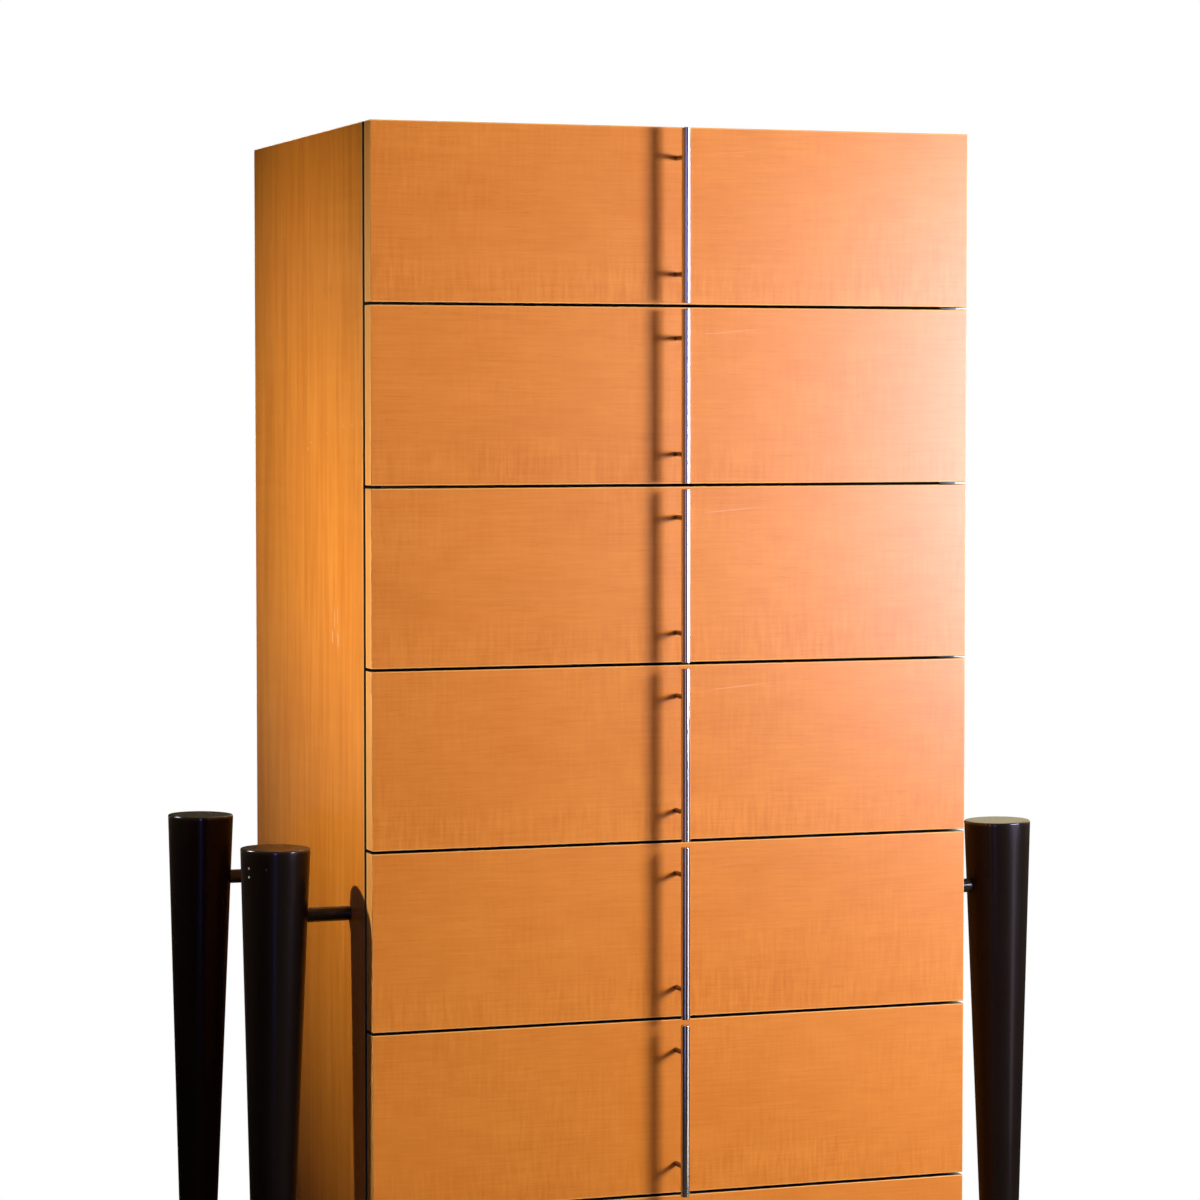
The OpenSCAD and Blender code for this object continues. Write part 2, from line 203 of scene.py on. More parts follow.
backdrop = studio.node("Background", {}, {"Color": shown, "Strength": 1.0})
studio.node("OutputWorld", {}, {"Surface": backdrop})

# Floor: a pale smooth sheet under the legs, which keeps the piece's shadow and runs out into plain
# white around it. Mirrors see its far end as brown as the room behind it.


def new_material(name):
    """A material with its nodes cleared, ready for its finish."""
    material = bpy.data.materials.new(name)
    return material, Finish(material)


def close(finish, surface):
    """Joins the last shader to the material's output."""
    finish.node("OutputMaterial", {}, {"Surface": surface})


def place_on(finish):
    """The surface's own place, in metres, which moves with the piece."""
    return finish.node("TexCoord", {}, {}, "Object")


def add_mesh(name, points, faces):
    """Mesh object at the origin from an array of points and lists of corners."""
    mesh = bpy.data.meshes.new(name)
    mesh.from_pydata(points.tolist(), [], faces)
    made = bpy.data.objects.new(name, mesh)
    bpy.context.scene.collection.objects.link(made)
    return made


floor_reach = 14
corners = floor_reach * np.array([[-1, -1, 0], [1, -1, 0], [1, 1, 0], [-1, 1, 0]])
floor = add_mesh("floor", corners, [(0, 1, 2, 3)])
floor_material, sheet = new_material("floor_sheet")
spot = place_on(sheet)
distance = sheet.node("VectorMath", {"operation": "LENGTH"}, {0: spot}, "Value")
seen = {key: sheet.node("LightPath", {}, {}, socket) for key, socket in light_path.items()}
looked_at = seen["camera"].highest(seen["through"])
bounced = sheet.mix(seen["glossy"], (0.20, 0.18, 0.14), (0.08, 0.07, 0.06))
paper = sheet.node("BsdfDiffuse", {}, {"Color": sheet.mix(looked_at, bounced, (0.9, 0.9, 0.9))})
glow = sheet.node("Emission", {}, {"Color": (1, 1, 1, 1), "Strength": 1.0})
near = sheet.node("MixShader", {}, {0: looked_at * 0.5, 1: paper, 2: glow})
plain = distance.between(0.62, 1.15) * looked_at
even = sheet.node("MixShader", {}, {0: plain, 1: near, 2: glow})
room = sheet.node("Emission", {}, {"Color": (0.13, 0.08, 0.06, 1), "Strength": 1.0})
far = distance.between(3, 6) * seen["glossy"]
close(sheet, sheet.node("MixShader", {}, {0: far, 1: even, 2: room}))
floor.data.materials.append(floor_material)

# Case: two sides, a top and a bottom of board faced with honey-coloured veneer and lacquered satin.
# The grain stands upright on the sides and runs across on the top and the bottom.
# The third colour, a paler orange, is painted on edges and roundings as painted highlights.
honey, amber, painted_highlight = (0.80, 0.270, 0.034), (0.63, 0.173, 0.010), (0.95, 0.45, 0.12)


def axes(finish, place):
    """The three coordinates of a place, one by one."""
    return [finish.node("SeparateXYZ", {}, {0: place}, axis) for axis in range(3)]


def joined(finish, x, y, z):
    """A place put together from three numbers or sockets."""
    return finish.node("CombineXYZ", {}, {0: x, 1: y, 2: z})


def veneer_figure(finish, along, across, leaf, crossed, lined):
    """Tone from 0, deep, to 1, pale: soft mottles, short fine lines along the grain and a close
    ripple across it, which comes and goes in patches and is fullest where crossed is 1. leaf sets
    one sheet of veneer apart from the next, and lined is the strength of the fine lines."""
    sheet_place = joined(finish, along, across, leaf)
    sway = finish.noise(sheet_place, (1.6, 3.2, 1), 1)
    across = across + (sway - 0.5) * 0.02
    place = joined(finish, along, across, leaf)
    lines = finish.noise(place, (20, 480, 1), 3, 0.6)
    mottle = finish.noise(place, (24, 42, 1), 3, 0.55)
    clouds = finish.noise(place, (4, 10, 1), 2)
    patches = finish.noise(place, (6, 9, 1), 1).between(0.42, 0.66)
    ripple = (finish.noise(place, (270, 30, 1), 2) - 0.5) * (patches * 0.7 + 0.25 + crossed)
    dashes = finish.noise(place, (44, 640, 1), 1).between(0.68, 0.77)
    tone = 0.5 + (lines - 0.5) * lined + (mottle - 0.5) * 0.5 + (clouds - 0.5) * 0.5
    return tone + ripple * 0.75 - dashes * 0.35, lines


def edge_tones(finish, colour, paler, painted_shade):
    """A paler orange, painted as highlights, on the roundings and where the first mask is 1, and
    black, painted as shade, where the second mask is 1."""
    x, y, z = axes(finish, finish.node("NewGeometry", {}, {}, "True Normal"))
    squarest = abs(x).highest(abs(y)).highest(abs(z))
    highlit = paler.highest(1 - squarest.between(0.95, 0.995))
    return finish.mix(painted_shade, finish.mix(highlit, colour, painted_highlight), (0.006, 0.004, 0.003))


def veneer(name, along, across, leaf, crossed=0, lined=0.85, edges=None):
    """Veneer under satin lacquer. along, across and leaf are functions of the three coordinates,
    and edges, if given, colours the pieces' edges."""
    material, finish = new_material(name)
    x, y, z = axes(finish, place_on(finish))
    if callable(crossed):
        crossed = crossed(x, y, z)
    tone, lines = veneer_figure(
        finish, along(x, y, z), across(x, y, z), leaf(x, y, z), crossed, lined
    )
    colour = finish.mix(tone.between(-0.2, 1.2), amber, honey)
    if edges:
        colour = edges(finish, colour, x, y, z)
    relief = finish.node("Bump", {}, {"Height": lines, "Strength": 0.12, "Distance": 0.2 * mm})
    sockets = {"Base Color": colour, "Roughness": 0.285 + lines * 0.03, "Normal": relief}
    close(finish, finish.node("BsdfPrincipled", {}, sockets))
    return material


def dress(material, *nodes):
    """Gives the pieces of the frame with these names their material."""
    for name in nodes:
        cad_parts[name].material_slots[0].material = material


case_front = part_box("side_panel_left")[0].y


def side_edges(finish, colour, x, y, z):
    """Black painted on the front edge as painted shade, so that the open gap behind the fronts shows
    dark, and a narrow paler band beside it as a painted highlight."""
    depth = y - case_front
    return edge_tones(
        finish,
        colour,
        (1 - depth.between(3 * mm, 5 * mm)) * 0.8,
        1 - depth.between(1.2 * mm, 1.5 * mm),
    )


def strokes(y, z, marks):
    """1 on any of some small marks and 0 beside them. Each mark gives its middle, y and z, and its
    half width and half height, all in mm."""
    shown = 0
    for mark_y, mark_z, half_width, half_height in marks:
        off = (abs(y - mark_y * mm) / (half_width * mm)).highest(
            abs(z - mark_z * mm) / (half_height * mm)
        )
        shown = (1 - off.between(0.4, 1)).highest(shown)
    return shown


pale_marks = [
    (-94, 901, 1.4, 10), (-82, 897, 1.6, 13), (-74, 878, 2.2, 8), (-96, 876, 2.4, 9),
    (-65, 1254, 1.1, 13), (-118, 1097, 2.2, 1.4), (-153, 1098, 2, 1.2), (-57, 1089, 2.2, 1.1),
    (11, 1079, 2.4, 1.2), (24, 1072, 2.6, 1.6), (-192, 1101, 2.6, 4),
]
dark_marks = [(-47, 1236, 1, 7), (-71, 1238, 1, 6), (-58, 1232, 0.9, 5), (66, 1252, 1.2, 16)]


def worn_side(finish, colour, x, y, z):
    """The side's edges, and on the left side alone the pale nicks and dark dashes of long use."""
    left = 1 - x.between(-0.1, 0.1)
    colour = finish.mix(strokes(y, z, pale_marks) * left * 0.7, colour, (0.95, 0.5, 0.33))
    colour = finish.mix(strokes(y, z, dark_marks) * left * 0.5, colour, (0.36, 0.09, 0.008))
    return side_edges(finish, colour, x, y, z)


upright = veneer(
    "upright_veneer",
    along=lambda x, y, z: z * 0.3,
    across=lambda x, y, z: (y + x * 0.7) * 0.22,
    leaf=lambda x, y, z: x * 2,
    lined=2.3,
    edges=worn_side,
)
crosswise = veneer(
    "crosswise_veneer",
    along=lambda x, y, z: x,
    across=lambda x, y, z: y + z * 0.7,
    leaf=lambda x, y, z: z * 2,
    edges=side_edges,
)
dress(upright, "side_panel_left", "side_panel_right")
dress(crosswise, "top_panel", "bottom_panel")

# Back panel and drawer bottoms: thin birch plywood, sanded and varnished clear. The face grain runs
# upright on the back and from side to side in the drawers.
birch, birch_deep = (0.70, 0.53, 0.33), (0.58, 0.40, 0.22)


def plain_wood(name, pale, deep, along, across, roughness, end_axis=None):
    """Sawn or peeled wood with soft long streaks. Where end_axis is given, faces square to that
    axis show darker end grain with fine pores."""
    material, finish = new_material(name)
    place = place_on(finish)
    x, y, z = axes(finish, place)
    grain = joined(finish, along(x, y, z), across(x, y, z), (x + y + z) * 0.3)
    streaks = finish.noise(grain, (5, 130, 1), 3, 0.55)
    waves = finish.noise(grain, (2.5, 18, 1), 2)
    flecks = finish.noise(grain, (50, 500, 1), 1).between(0.62, 0.74)
    tone = 0.5 + (streaks - 0.5) * 1.1 + (waves - 0.5) * 0.8 - flecks * 0.25
    colour = finish.mix(tone.between(0, 1), deep, pale)
    if end_axis is not None:
        normal = axes(finish, finish.node("NewGeometry", {}, {}, "True Normal"))[end_axis]
        pores = finish.noise(place, (900, 900, 900), 1).between(0.35, 0.7)
        rings = finish.noise(place, (120, 120, 120), 2)
        end_grain = finish.mix(pores * 0.5 + rings * 0.5, [c * 0.5 for c in deep], deep)
        colour = finish.mix(abs(normal).between(0.7, 0.9), colour, end_grain)
    relief = finish.node("Bump", {}, {"Height": streaks, "Strength": 0.2, "Distance": 0.2 * mm})
    sockets = {"Base Color": colour, "Roughness": roughness + streaks * 0.1, "Normal": relief}
    close(finish, finish.node("BsdfPrincipled", {}, sockets))
    return material


def along_x(x, y, z):
    return x


def along_y(x, y, z):
    return y


drawers = range(1, 8)
back_plywood = plain_wood(
    "back_plywood", birch, birch_deep, lambda x, y, z: z, lambda x, y, z: x + y, 0.5
)
drawer_plywood = plain_wood(
    "drawer_plywood", birch, birch_deep, along_x, lambda x, y, z: y + z * 3, 0.5
)
dress(back_plywood, "back_panel")
dress(drawer_plywood, *(f"drawer_{i}_bottom" for i in drawers))

# Drawer boxes, dowels and runner strips: solid pale wood, and a browner hardwood for the strips.
# Boxes are dovetailed, so each corner shows the end grain of one board beside the face of the other.
maple, maple_deep = (0.72, 0.55, 0.34), (0.56, 0.38, 0.20)
oak, oak_deep = (0.50, 0.31, 0.15), (0.33, 0.19, 0.085)
side_wood = plain_wood(
    "drawer_side_wood", maple, maple_deep, along_y, lambda x, y, z: z + x, 0.42, end_axis=1
)
end_wood = plain_wood(
    "drawer_end_wood", maple, maple_deep, along_x, lambda x, y, z: z + y, 0.42, end_axis=0
)
strip_wood = plain_wood(
    "strip_wood", oak, oak_deep, along_y, lambda x, y, z: z + x, 0.45, end_axis=1
)
dress(side_wood, *(f"drawer_{i}_box_sides" for i in drawers))
dress(end_wood, *(f"drawer_{i}_box_ends" for i in drawers))
dress(end_wood, "carcass_dowels")
dress(strip_wood, "runner_strips")

# Drawer fronts: board faced with one flitch of the same veneer, its leaves laid across, each front
# with its own figure. Arrises are rounded and the back carries the posts' and the box's screws.
low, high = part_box("drawer_7_front")
front_low, front_face = low.z, low.y
front_height, front_thick = high.z - low.z, high.y - low.y
front_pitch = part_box("drawer_6_front")[0].z - front_low
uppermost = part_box("drawer_1_front")[1].z


def row(z):
    """Number of the front that a height belongs to, counted from the lowest."""
    return ((z - front_low) / front_pitch).floor()


def lipped_edges(finish, colour, x, y, z):
    """Pale lipping on the upright edges, and paler bands painted as highlights at the front and back
    of those edges and along each front's top and bottom roundings. Black is painted as shade on the
    edges between two fronts behind the face, so that the gap there shows black, and along the back
    of every edge."""
    normal = axes(finish, finish.node("NewGeometry", {}, {}, "True Normal"))
    streaks = finish.noise(joined(finish, x, y, z), (300, 300, 14), 2)
    lipping = finish.mix(streaks, (0.74, 0.28, 0.064), (0.88, 0.365, 0.088))
    upright_edge = abs(normal[0]).between(0.7, 0.9)
    colour = finish.mix(upright_edge, colour, lipping)
    depth = y - front_face
    from_back = front_thick - depth
    # Paler bands painted as highlights: at the front and back of the upright edges, and along each
    # front's top and bottom roundings.
    ends = (1 - depth.between(3 * mm, 4.5 * mm)).highest(1 - from_back.between(3 * mm, 4.5 * mm))
    half = front_height / 2
    height = z - front_low - row(z) * front_pitch
    margin = abs(height - half).between(half - 1.6 * mm, half - 0.9 * mm)
    paler = (ends * upright_edge).highest(margin * 0.85)
    # Painted shade: black just behind the face on the edges between fronts, and along the back of
    # every edge.
    painted_gap_shade = depth.between(0.2 * mm, 0.4 * mm) * abs(normal[2]).between(0.45, 0.6)
    painted_gap_shade = painted_gap_shade * (1 - z.between(uppermost - 3 * mm, uppermost - 2 * mm))
    last = 1 - from_back.between(0.8 * mm, 1.2 * mm)
    return edge_tones(finish, colour, paler, painted_gap_shade.highest(last))


fronts = veneer(
    "front_veneer",
    along=lambda x, y, z: x + row(z) * 1.7,
    across=lambda x, y, z: z + y * 0.7,
    leaf=lambda x, y, z: row(z) * 3.1,
    crossed=lambda x, y, z: 1 - ((z - front_low) / front_pitch - row(z)).between(0.12, 0.3),
    edges=lipped_edges,
)
dress(fronts, *(f"drawer_{i}_front" for i in drawers))

# Legs: turned from solid wood to one straight taper, flat on top, and lacquered black with a fair
# gloss. The front left one has three small dents near its top, two with pale spots painted as glints.


def arc(middle, radius, start, end, count):
    """Points on a circle about middle, from one angle to the other, in degrees."""
    turn = np.radians(np.linspace(start, end, count))
    return [(middle[0] + radius * math.cos(t), middle[1] + radius * math.sin(t)) for t in turn]


def turned(profile, steps, swell=1):
    """Surface of revolution: point (i, v) is the profile's point i, its radius carried round the
    axis by the angle v and multiplied by swell[i, v], if that is given. The first and last points
    lie on the axis and close the ends."""
    radius, height = np.transpose(profile)
    angle = 2 * math.pi * np.arange(steps) / steps
    reach = radius[1:-1, None] * swell
    ring = np.stack([
        reach * np.cos(angle),
        reach * np.sin(angle),
        height[1:-1, None] + 0 * angle,
    ], axis=-1).reshape(-1, 3)
    points = np.vstack([ring, [[0, 0, height[0]], [0, 0, height[-1]]]])
    return points, ring_faces(len(profile) - 2, steps)


def ring_faces(rings, steps):
    """Faces between rings of points, each ring closed on itself, with a fan to a last point but one
    below the first ring and to the last point above the last ring."""
    this = np.arange(steps)
    following = (this + 1) % steps
    base = steps * np.arange(rings - 1)[:, None]
    above = base + steps
    quads = np.stack([base + this, base + following, above + following, above + this], -1)
    foot, head = rings * steps, rings * steps + 1
    last = (rings - 1) * steps
    foot_fan = np.stack([np.full(steps, foot), following, this], -1)
    head_fan = np.stack([np.full(steps, head), last + this, last + following], -1)
    return quads.reshape(-1, 4).tolist() + foot_fan.tolist() + head_fan.tolist()


crease = math.radians(35)


def new_piece(name, shapes, body, material, replaced):
    """One piece out of several (points, faces) shapes, smooth but for edges sharper than a crease."""
    counts = np.cumsum([0] + [len(points) for points, _ in shapes])
    points = np.vstack([points for points, _ in shapes])
    faces = [[c + first for c in f] for first, (_, part) in zip(counts, shapes) for f in part]
    piece = add_mesh(name, points, faces)
    piece.data.shade_smooth()
    piece.data.set_sharp_from_angle(angle=crease)
    piece.data.materials.append(material)
    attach(piece, body)
    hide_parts(*replaced)


legs = ("leg_front_left", "leg_front_right", "leg_back_left", "leg_back_right")
leg_arris = 1.5 * mm
foot_width = 27 * mm
foot_edge = 1 * mm
lean = math.radians(0.65)
low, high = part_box("leg_front_left")
dent_x, dent_y = (low.x + high.x) / 2, (low.y + high.y) / 2
dents = [
    (dent_x - 31.8 * mm, dent_y - 15.4 * mm, 650 * mm),
    (dent_x - 31.6 * mm, dent_y - 15.2 * mm, 641 * mm),
    (dent_x - 17.2 * mm, dent_y - 30.8 * mm, 650 * mm),
]
dent_width, dent_depth = 2.6 * mm, 0.6 * mm
glint_strength = (1, 1, 0.03)

lacquer, finish = new_material("black_lacquer")
place = place_on(finish)
# The dents' pale blue-white spots are painted glints.
pit, painted_glint = 0, 0
for dent, glint in zip(dents, glint_strength):
    reach = {0: place, 1: dent}
    gap = finish.node("VectorMath", {"operation": "DISTANCE"}, reach, "Value")
    pit = (1 - gap.between(0.1 * dent_width, dent_width)) + pit
    painted_glint = (1 - gap.between(0.3 * dent_width, 0.6 * dent_width)) * glint + painted_glint
leg_top = high.z
upward = axes(finish, finish.node("NewGeometry", {}, {}, "True Normal"))[2]
near_top = axes(finish, place)[2].between(leg_top - 4 * mm, leg_top - 3 * mm)
rim_gloss = near_top * (1 - upward.between(0.9, 0.97)) + pit
peel = finish.noise(place, (260, 260, 120), 2)
paler = finish.noise(place, (30, 30, 9), 3)
black = finish.mix(paler, (0.0064, 0.0042, 0.0036), (0.0105, 0.0070, 0.0062))
sockets = {
    "Base Color": finish.mix(painted_glint, black, (0.8, 0.85, 1)),
    "Roughness": 0.24 + paler * 0.08,
    "Specular IOR Level": 0.10,
    "Specular Tint": (1, 0.76, 0.85, 1),
    "Coat Weight": rim_gloss.between(0, 1) * 0.8 + upward.between(0.97, 0.99) * 0.15 + 0.03,
    "Coat Roughness": 0.08,
    "Normal": finish.node("Bump", {}, {"Height": peel, "Strength": 0.10, "Distance": 0.15 * mm}),
}
close(finish, finish.node("BsdfPrincipled", {}, sockets))


def dented(points):
    """The points moved sideways towards the leg's axis: by the dents' depth in their middles, and
    around them by the depth times the square of one minus the distance over the dents' width."""
    pushed = points.copy()
    for dent in dents:
        near = np.clip(1 - np.linalg.norm(points - dent, axis=1) / dent_width, 0, 1)
        inwards = np.array([dent_x - dent[0], dent_y - dent[1], 0])
        pushed += dent_depth * near[:, None] ** 2 * inwards / np.linalg.norm(inwards)
    return pushed


# Steps round a leg, and closer ones with extra rings over the stretch that holds the dents.
leg_steps, dented_steps = 128, 320
dented_share = np.linspace(0.955, 0.983, 38)
for name in legs:
    low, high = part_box(name)
    side = 1 if low.x > 0 else -1
    top_radius = (high.x - low.x) / 2
    share, steps = np.linspace(0, 1, 24), leg_steps
    if name == "leg_front_left":
        share, steps = np.union1d(share, dented_share), dented_steps
    height = high.z - top_radius * math.sin(lean) - low.z
    rim = arc((top_radius - leg_arris, height - leg_arris), leg_arris, -2, 90, 8)
    sole = arc((foot_width / 2 - foot_edge, foot_edge), foot_edge, -90, 0, 5)
    shaft = (np.outer(1 - share, sole[-1]) + np.outer(share, rim[0]))[1:-1].tolist()
    flat_top = [(r * (top_radius - leg_arris), height) for r in (0.8, 0.4)]
    profile = [(0, 0), (0.5 * foot_width / 2, 0), *sole, *shaft, *rim, *flat_top, (0, height)]
    points, faces = turned(profile, steps)
    x, y, z = points.T
    tilt = side * math.tan(lean)
    points = np.stack([x + tilt * (height - z), y, low.z + z + x * tilt * z / height], -1)
    points = dented(points + [(low.x + high.x) / 2, (low.y + high.y) / 2, 0])
    new_piece(name + "_turned", [(points, faces)], "case", lacquer, [name])

# Pins: round black steel spacers between the case and the legs, bored for their bolts. Glides:
# black nylon discs pressed into the legs' feet.
black_steel, finish = new_material("black_steel")
place = place_on(finish)
scuffs = finish.noise(place, (90, 400, 400), 3, 0.6)
sockets = {
    "Base Color": finish.mix(scuffs, (0.012, 0.008, 0.007), (0.026, 0.019, 0.016)),
    "Roughness": 0.09 + scuffs * 0.10,
    "Specular IOR Level": 0.4,
}
close(finish, finish.node("BsdfPrincipled", {}, sockets))


def turn_to(points, axis, place):
    """Points of a shape made along Z, turned to run along axis (+x, -x or +y), at place."""
    x, y, z = points.T
    turns = {"+x": (z, x, y), "-x": (-z, x, -y), "+y": (y, z, x)}
    return np.stack(turns[axis], -1) + place


def tube(profile, steps):
    """Surface of revolution whose profile keeps clear of the axis and closes on itself, so that the
    last ring joins the first."""
    radius, height = np.transpose(profile)
    angle = 2 * math.pi * np.arange(steps) / steps
    rings = len(profile)
    points = np.stack([
        radius[:, None] * np.cos(angle),
        radius[:, None] * np.sin(angle),
        height[:, None] + 0 * angle,
    ], -1).reshape(-1, 3)
    this = np.arange(steps)
    following = (this + 1) % steps
    base = steps * np.arange(rings)[:, None]
    above = steps * ((np.arange(rings) + 1) % rings)[:, None]
    faces = np.stack([base + this, base + following, above + following, above + this], -1)
    return points, faces.reshape(-1, 4).tolist()


bolt_width = 8 * mm
pin_ease = 0.6 * mm
pin_heights = [180 * mm, 598 * mm]
pin_width = 15 * mm
leg_offset = 78 * mm
hole_ease = 0.1 * mm
pin_socket = 10 * mm
panel_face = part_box("side_panel_right")[1].x
pin_ends = []
for name in legs:
    low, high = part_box(name)
    way, side = ("+x", 1) if low.x > 0 else ("-x", -1)
    for height in pin_heights:
        depth = (high.z - height) / (high.z - low.z)
        surface = (high.x - low.x) / 2 * (1 - depth) + foot_width / 2 * depth
        length = leg_offset + (high.z - height) * math.tan(lean) - surface + pin_socket
        pin_ends.append((way, (side * panel_face, (low.y + high.y) / 2, height), length))

pins = []
bore = bolt_width / 2 + hole_ease
for way, place, length in pin_ends:
    rim = [(pin_width / 2 - pin_ease, 0), (pin_width / 2, pin_ease), (pin_width / 2, length)]
    points, faces = tube([(bore, 0), *rim, (bore, length)], 64)
    pins.append((turn_to(points, way, place), faces))
new_piece("leg_pins_turned", pins, "case", black_steel, ["leg_pins"])

nylon, finish = new_material("black_nylon")
grit = finish.noise(place_on(finish), (1200, 1200, 1200), 2)
relief = finish.node("Bump", {}, {"Height": grit, "Strength": 0.3, "Distance": 0.05 * mm})
sockets = {
    "Base Color": finish.mix(grit, (0.012, 0.012, 0.012), (0.022, 0.021, 0.02)),
    "Roughness": 0.45 + grit * 0.1,
    "Normal": relief,
}
close(finish, finish.node("BsdfPrincipled", {}, sockets))
dress(nylon, "leg_glides")

# Bolts and screws: zinc plated. The bolts run from inside the case through the pins into the legs
# and have hexagon sockets; the back, the runner strips and the fronts are held by cross-head screws.
zinc, finish = new_material("zinc_plate")
place = place_on(finish)
spangle = finish.noise(place, (700, 700, 700), 3)
sockets = {
    "Base Color": finish.mix(spangle, (0.50, 0.50, 0.49), (0.66, 0.66, 0.63)),
    "Metallic": 1.0,
    "Roughness": 0.24 + spangle * 0.16,
}
close(finish, finish.node("BsdfPrincipled", {}, sockets))


def bolt(head_width, head, shank, width, socket_width, socket_depth):
    """Socket-head bolt, its shank from 0 up and its head below. The socket's rings are hexagons:
    their radius is the half width over the cosine of the angle from the middle of a side."""
    steps = 48
    ease = 0.5 * mm
    socket = [(socket_width / 2, -head), (socket_width / 2, socket_depth - head)]
    rim = [(head_width / 2 - ease, -head), (head_width / 2, ease - head), (head_width / 2, 0)]
    stem = [(width / 2, 0), (width / 2, shank - width / 8), (width * 3 / 8, shank)]
    profile = [(0, socket_depth - head), *socket[::-1], *rim, *stem, (0, shank)]
    angle = 2 * math.pi * np.arange(steps) / steps
    hexagon = math.cos(math.pi / 6) / np.cos((angle + math.pi / 6) % (math.pi / 3) - math.pi / 6)
    swell = np.ones((len(profile) - 2, steps))
    swell[:2] = hexagon
    return turned(profile, steps, swell)


head_height, bolt_hold = 4.5 * mm, 12 * mm
recess = 14.4 * mm
socket_width, socket_depth = 5.6 * mm, 3 * mm
bolts = []
for way, (x, y, z), length in pin_ends:
    side = 1 if way == "+x" else -1
    shank = recess + length + bolt_hold
    points, faces = bolt(
        2 * bolt_width, head_height, shank, bolt_width, socket_width, socket_depth
    )
    bolts.append((turn_to(points, way, (x - side * recess, y, z)), faces))
new_piece("leg_bolts_turned", bolts, "case", zinc, ["leg_bolts"])


def screw(width, length):
    """Countersunk screw with its head's face at 0 and its point below. The face is lowered by a
    cross: at (x, y) by the cross's depth, where either of two crossed bars covers the place, with
    sloping sides and ends."""
    head = width
    spread = np.linspace(0, head, 12)[1:-1]
    face = [(r, 0) for r in spread]
    stem = [(width / 2, -width / 2), (width / 2, -length * 3 / 4)]
    profile = [(0, 0), *face, (head, 0), *stem, (0, -length)]
    points, faces = turned(profile[::-1], 48)
    x, y, z = points.T

    def arm(across, along):
        return np.clip((0.16 * head - abs(across)) / (0.06 * head), 0, 1) * np.clip(
            (0.62 * head - abs(along)) / (0.2 * head), 0, 1
        )

    cross = np.maximum(arm(x, y), arm(y, x))
    on_face = z > -1e-6
    z = np.where(on_face, -0.45 * width * cross, z)
    return np.stack([x, y, z], -1), faces


def driven(name, width, length, heads, replaced):
    """The case's screws of one kind in one piece. Each head is a way and a place: the head's face
    lies at the place and looks along the way."""
    points, faces = screw(width, length)
    shapes = [(turn_to(points, way, place), faces) for way, place in heads]
    new_piece(name, shapes, "case", zinc, replaced)


def steps_between(first, last, count):
    """Places spread over a length in equal shares, each in the middle of its share."""
    return [first + (last - first) * (k + 0.5) / count for k in range(count)]


board = 19 * mm
rebate = 9 * mm
case_low, case_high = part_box("side_panel_left")[0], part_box("side_panel_right")[1]
half_inside = case_high.x - board
rows = steps_between(case_low.z + board, case_high.z - board, 5)
columns = steps_between(-half_inside, half_inside, 3)
edge = half_inside + rebate / 2
heads = [("+y", (side * edge, case_high.y, z)) for side in (-1, 1) for z in rows]
for z in (case_low.z + board - rebate / 2, case_high.z - board + rebate / 2):
    heads += [("+y", (x, case_high.y, z)) for x in columns]
driven("back_screws_turned", 3.5 * mm, 25 * mm, heads, ["back_screws"])

strip_low, strip_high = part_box("runner_strips")
strip_inset, strip_thick, strip_height = 85 * mm, 8 * mm, 16 * mm
strip_face = half_inside - strip_thick
heads = []
for i in drawers:
    z = strip_low.z + strip_height / 2 + (i - 1) * front_pitch
    for y in (strip_low.y + strip_inset, strip_high.y - strip_inset):
        heads += [("+x", (-strip_face, y, z)), ("-x", (strip_face, y, z))]
driven("runner_screws_turned", 4 * mm, 20 * mm, heads, ["runner_screws"])

# Handles: a solid round steel bar, polished along its length, on two thin steel posts that are
# screwed through the front from behind; where the posts stand clear of the front they are coloured
# dark brown as a painted dark reflection. The bar stands upright in the middle of each front, and
# four more bright screws hold the front to its box.
bar_ease = 0.5 * mm
post_width = 5 * mm
post_inset = 29.5 * mm
post_depth = 5 * mm
post_screw, post_bite = 3 * mm, 12 * mm
box_screw, box_bite, box_wall = 4 * mm, 14 * mm, 15 * mm
box_inset, box_spread = 34 * mm, 200 * mm

steel, finish = new_material("polished_steel")
place = place_on(finish)
brush = finish.noise(place, (2600, 2600, 9), 2, 0.6)
sockets = {
    "Base Color": finish.mix(brush, (0.52, 0.48, 0.46), (0.70, 0.67, 0.66)),
    "Metallic": 1.0,
    "Roughness": 0.09 + brush * 0.07,
}
close(finish, finish.node("BsdfPrincipled", {}, sockets))

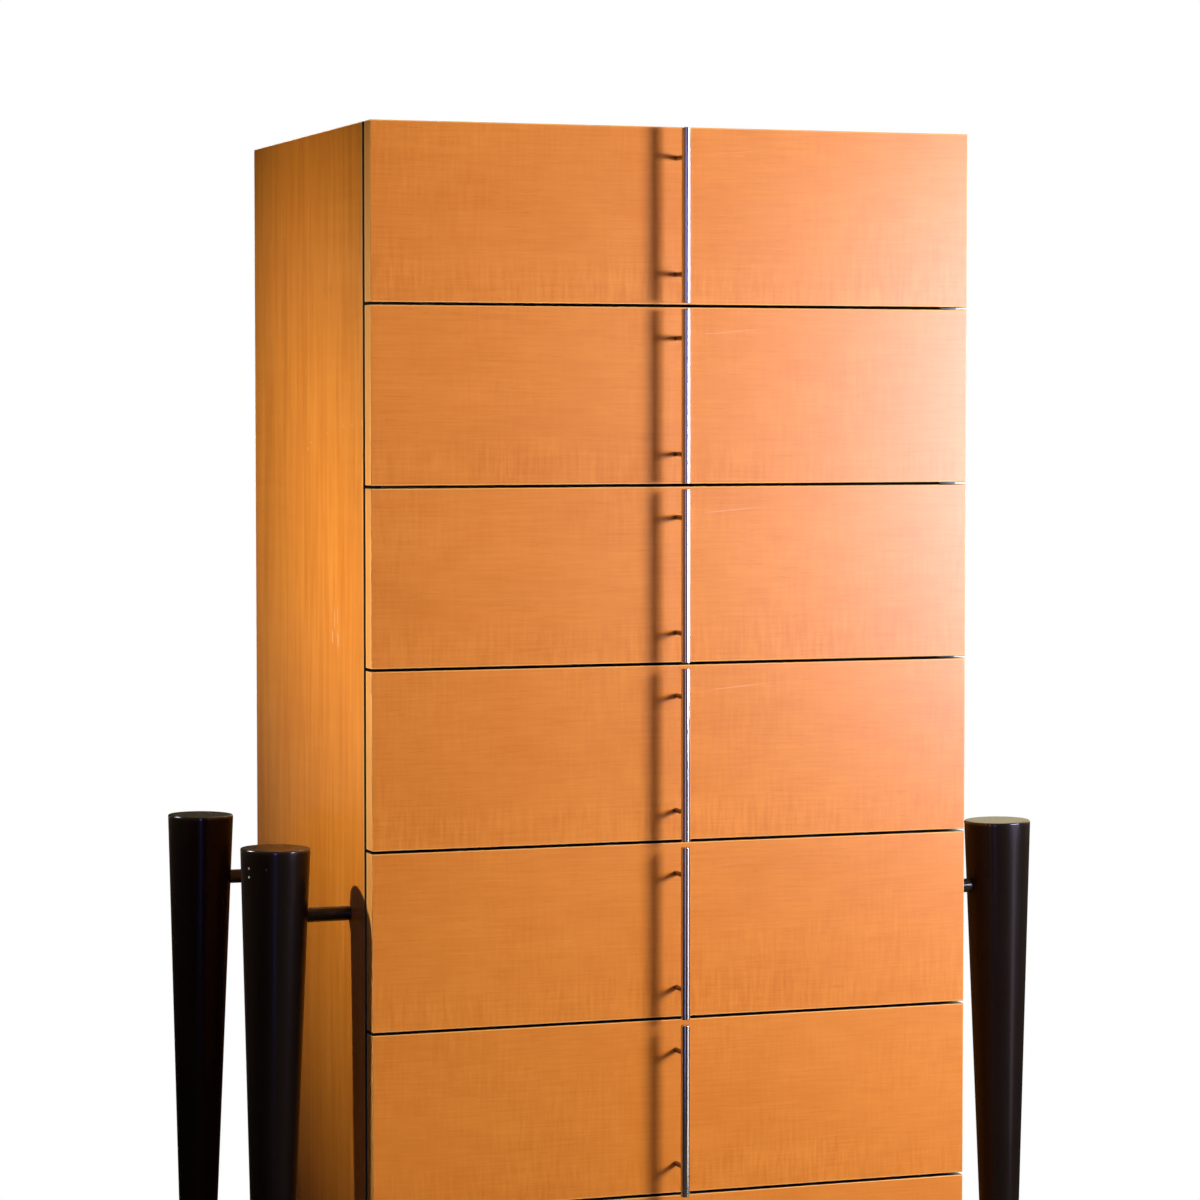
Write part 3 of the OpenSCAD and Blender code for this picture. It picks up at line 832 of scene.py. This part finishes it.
dark_painted_steel, finish = new_material("post_steel")
place = place_on(finish)
grain = finish.noise(place, (900, 900, 900), 2)
# Painted reflection: the posts are dark brown where they stand clear of the front.
painted_dark = 1 - axes(finish, place)[1].between(front_face - 0.3 * mm, front_face)
bright = finish.mix(grain, (0.50, 0.50, 0.49), (0.66, 0.66, 0.63))
sockets = {
    "Base Color": finish.mix(painted_dark, bright, (0.13, 0.09, 0.07)),
    "Metallic": 1.0,
    "Roughness": 0.22 + grain * 0.12,
}
close(finish, finish.node("BsdfPrincipled", {}, sockets))

for i in drawers:
    low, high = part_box(f"drawer_{i}_handle_bar")
    radius = (high.x - low.x) / 2
    crown = [(radius, high.z - 1.2 * bar_ease)]
    crown += arc((radius - bar_ease, high.z - bar_ease), bar_ease, 0, 90, 4)
    base = arc((radius - bar_ease, low.z + bar_ease), bar_ease, -90, 0, 4)
    base += [(radius, low.z + 1.2 * bar_ease)]
    middle_y = (low.y + high.y) / 2
    bar_points, bar_faces = turned([(0, low.z), *base, *crown, (0, high.z)], 64)
    bar = (bar_points + [0, middle_y, 0], bar_faces)
    new_piece(f"drawer_{i}_bar", [bar], f"drawer_{i}", steel, [f"drawer_{i}_handle_bar"])
    face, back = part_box(f"drawer_{i}_front")[0].y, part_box(f"drawer_{i}_front")[1].y
    post_length = face - high.y + post_depth
    bore = post_screw / 2 + hole_ease
    bore_depth = post_bite + hole_ease
    profile = [
        (0, 0),
        (post_width / 2, 0),
        (post_width / 2, post_length),
        (bore, post_length),
        (bore, post_length - bore_depth),
        (0, post_length - bore_depth),
    ]
    post_points, post_faces = turned(profile, 40)
    screw_points, screw_faces = screw(post_screw, back - face + post_bite)
    box_points, box_faces = screw(box_screw, box_wall + box_bite)
    shapes = []
    for z in (low.z + post_inset, high.z - post_inset):
        shapes.append((turn_to(post_points, "+y", (0, face - post_length, z)), post_faces))
        shapes.append((turn_to(screw_points, "+y", (0, back, z)), screw_faces))
    box_low, box_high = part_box(f"drawer_{i}_box_sides")
    for z in (box_low.z + box_inset, box_high.z - box_inset):
        for x in (-box_spread, box_spread):
            shapes.append((turn_to(box_points, "+y", (x, back + box_wall, z)), box_faces))
    replaced = [f"drawer_{i}_posts_and_screws"]
    new_piece(f"drawer_{i}_fastenings", shapes, f"drawer_{i}", dark_painted_steel, replaced)
